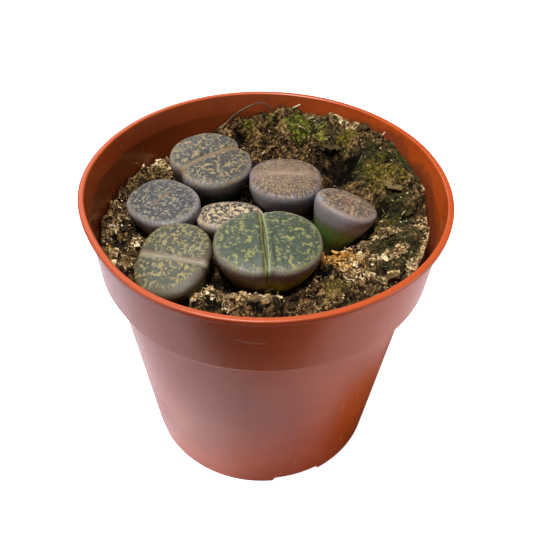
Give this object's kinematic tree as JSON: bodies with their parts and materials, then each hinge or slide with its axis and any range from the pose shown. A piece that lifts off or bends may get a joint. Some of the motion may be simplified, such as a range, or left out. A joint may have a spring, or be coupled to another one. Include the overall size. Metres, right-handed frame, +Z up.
{
  "type": "potted living stone",
  "caption": "Clump of living stone succulents with flat, split, spotted tops, growing in mossy peat in a round tapered plastic nursery pot with a stepped collar and a rolled rim.",
  "frame": {"origin": "centre of the pot's foot, on the surface that it stands on", "axes": "+Z up along the pot's axis, +Y away from a viewer who faces the largest plant, +X to that viewer's right"},
  "size_m": [0.105, 0.105, 0.095],
  "materials": {
    "pot_plastic": "glossy terracotta polypropylene",
    "peat": "rough, matt, crumbly and partly mossy",
    "plant_grey_green": "satin leaf skin",
    "plant_purple_grey": "satin leaf skin",
    "plant_tan": "satin leaf skin",
    "plant_pink_grey": "satin leaf skin",
    "plant_brown": "satin leaf skin",
    "plant_olive": "satin leaf skin",
    "plant_dark_green": "satin leaf skin",
    "dry_straw": "matt dry plant fibre"
  },
  "bodies": {
    "root": {"pot": "pot_plastic", "peat": "peat", "living_stone_back_left": "plant_grey_green", "living_stone_left": "plant_purple_grey", "living_stone_back": "plant_tan", "living_stone_right": "plant_pink_grey", "living_stone_middle": "plant_brown", "living_stone_front_left": "plant_olive", "living_stone_front": "plant_dark_green", "dry_root": "dry_straw", "straw": "dry_straw"}
  },
  "joints": []
}
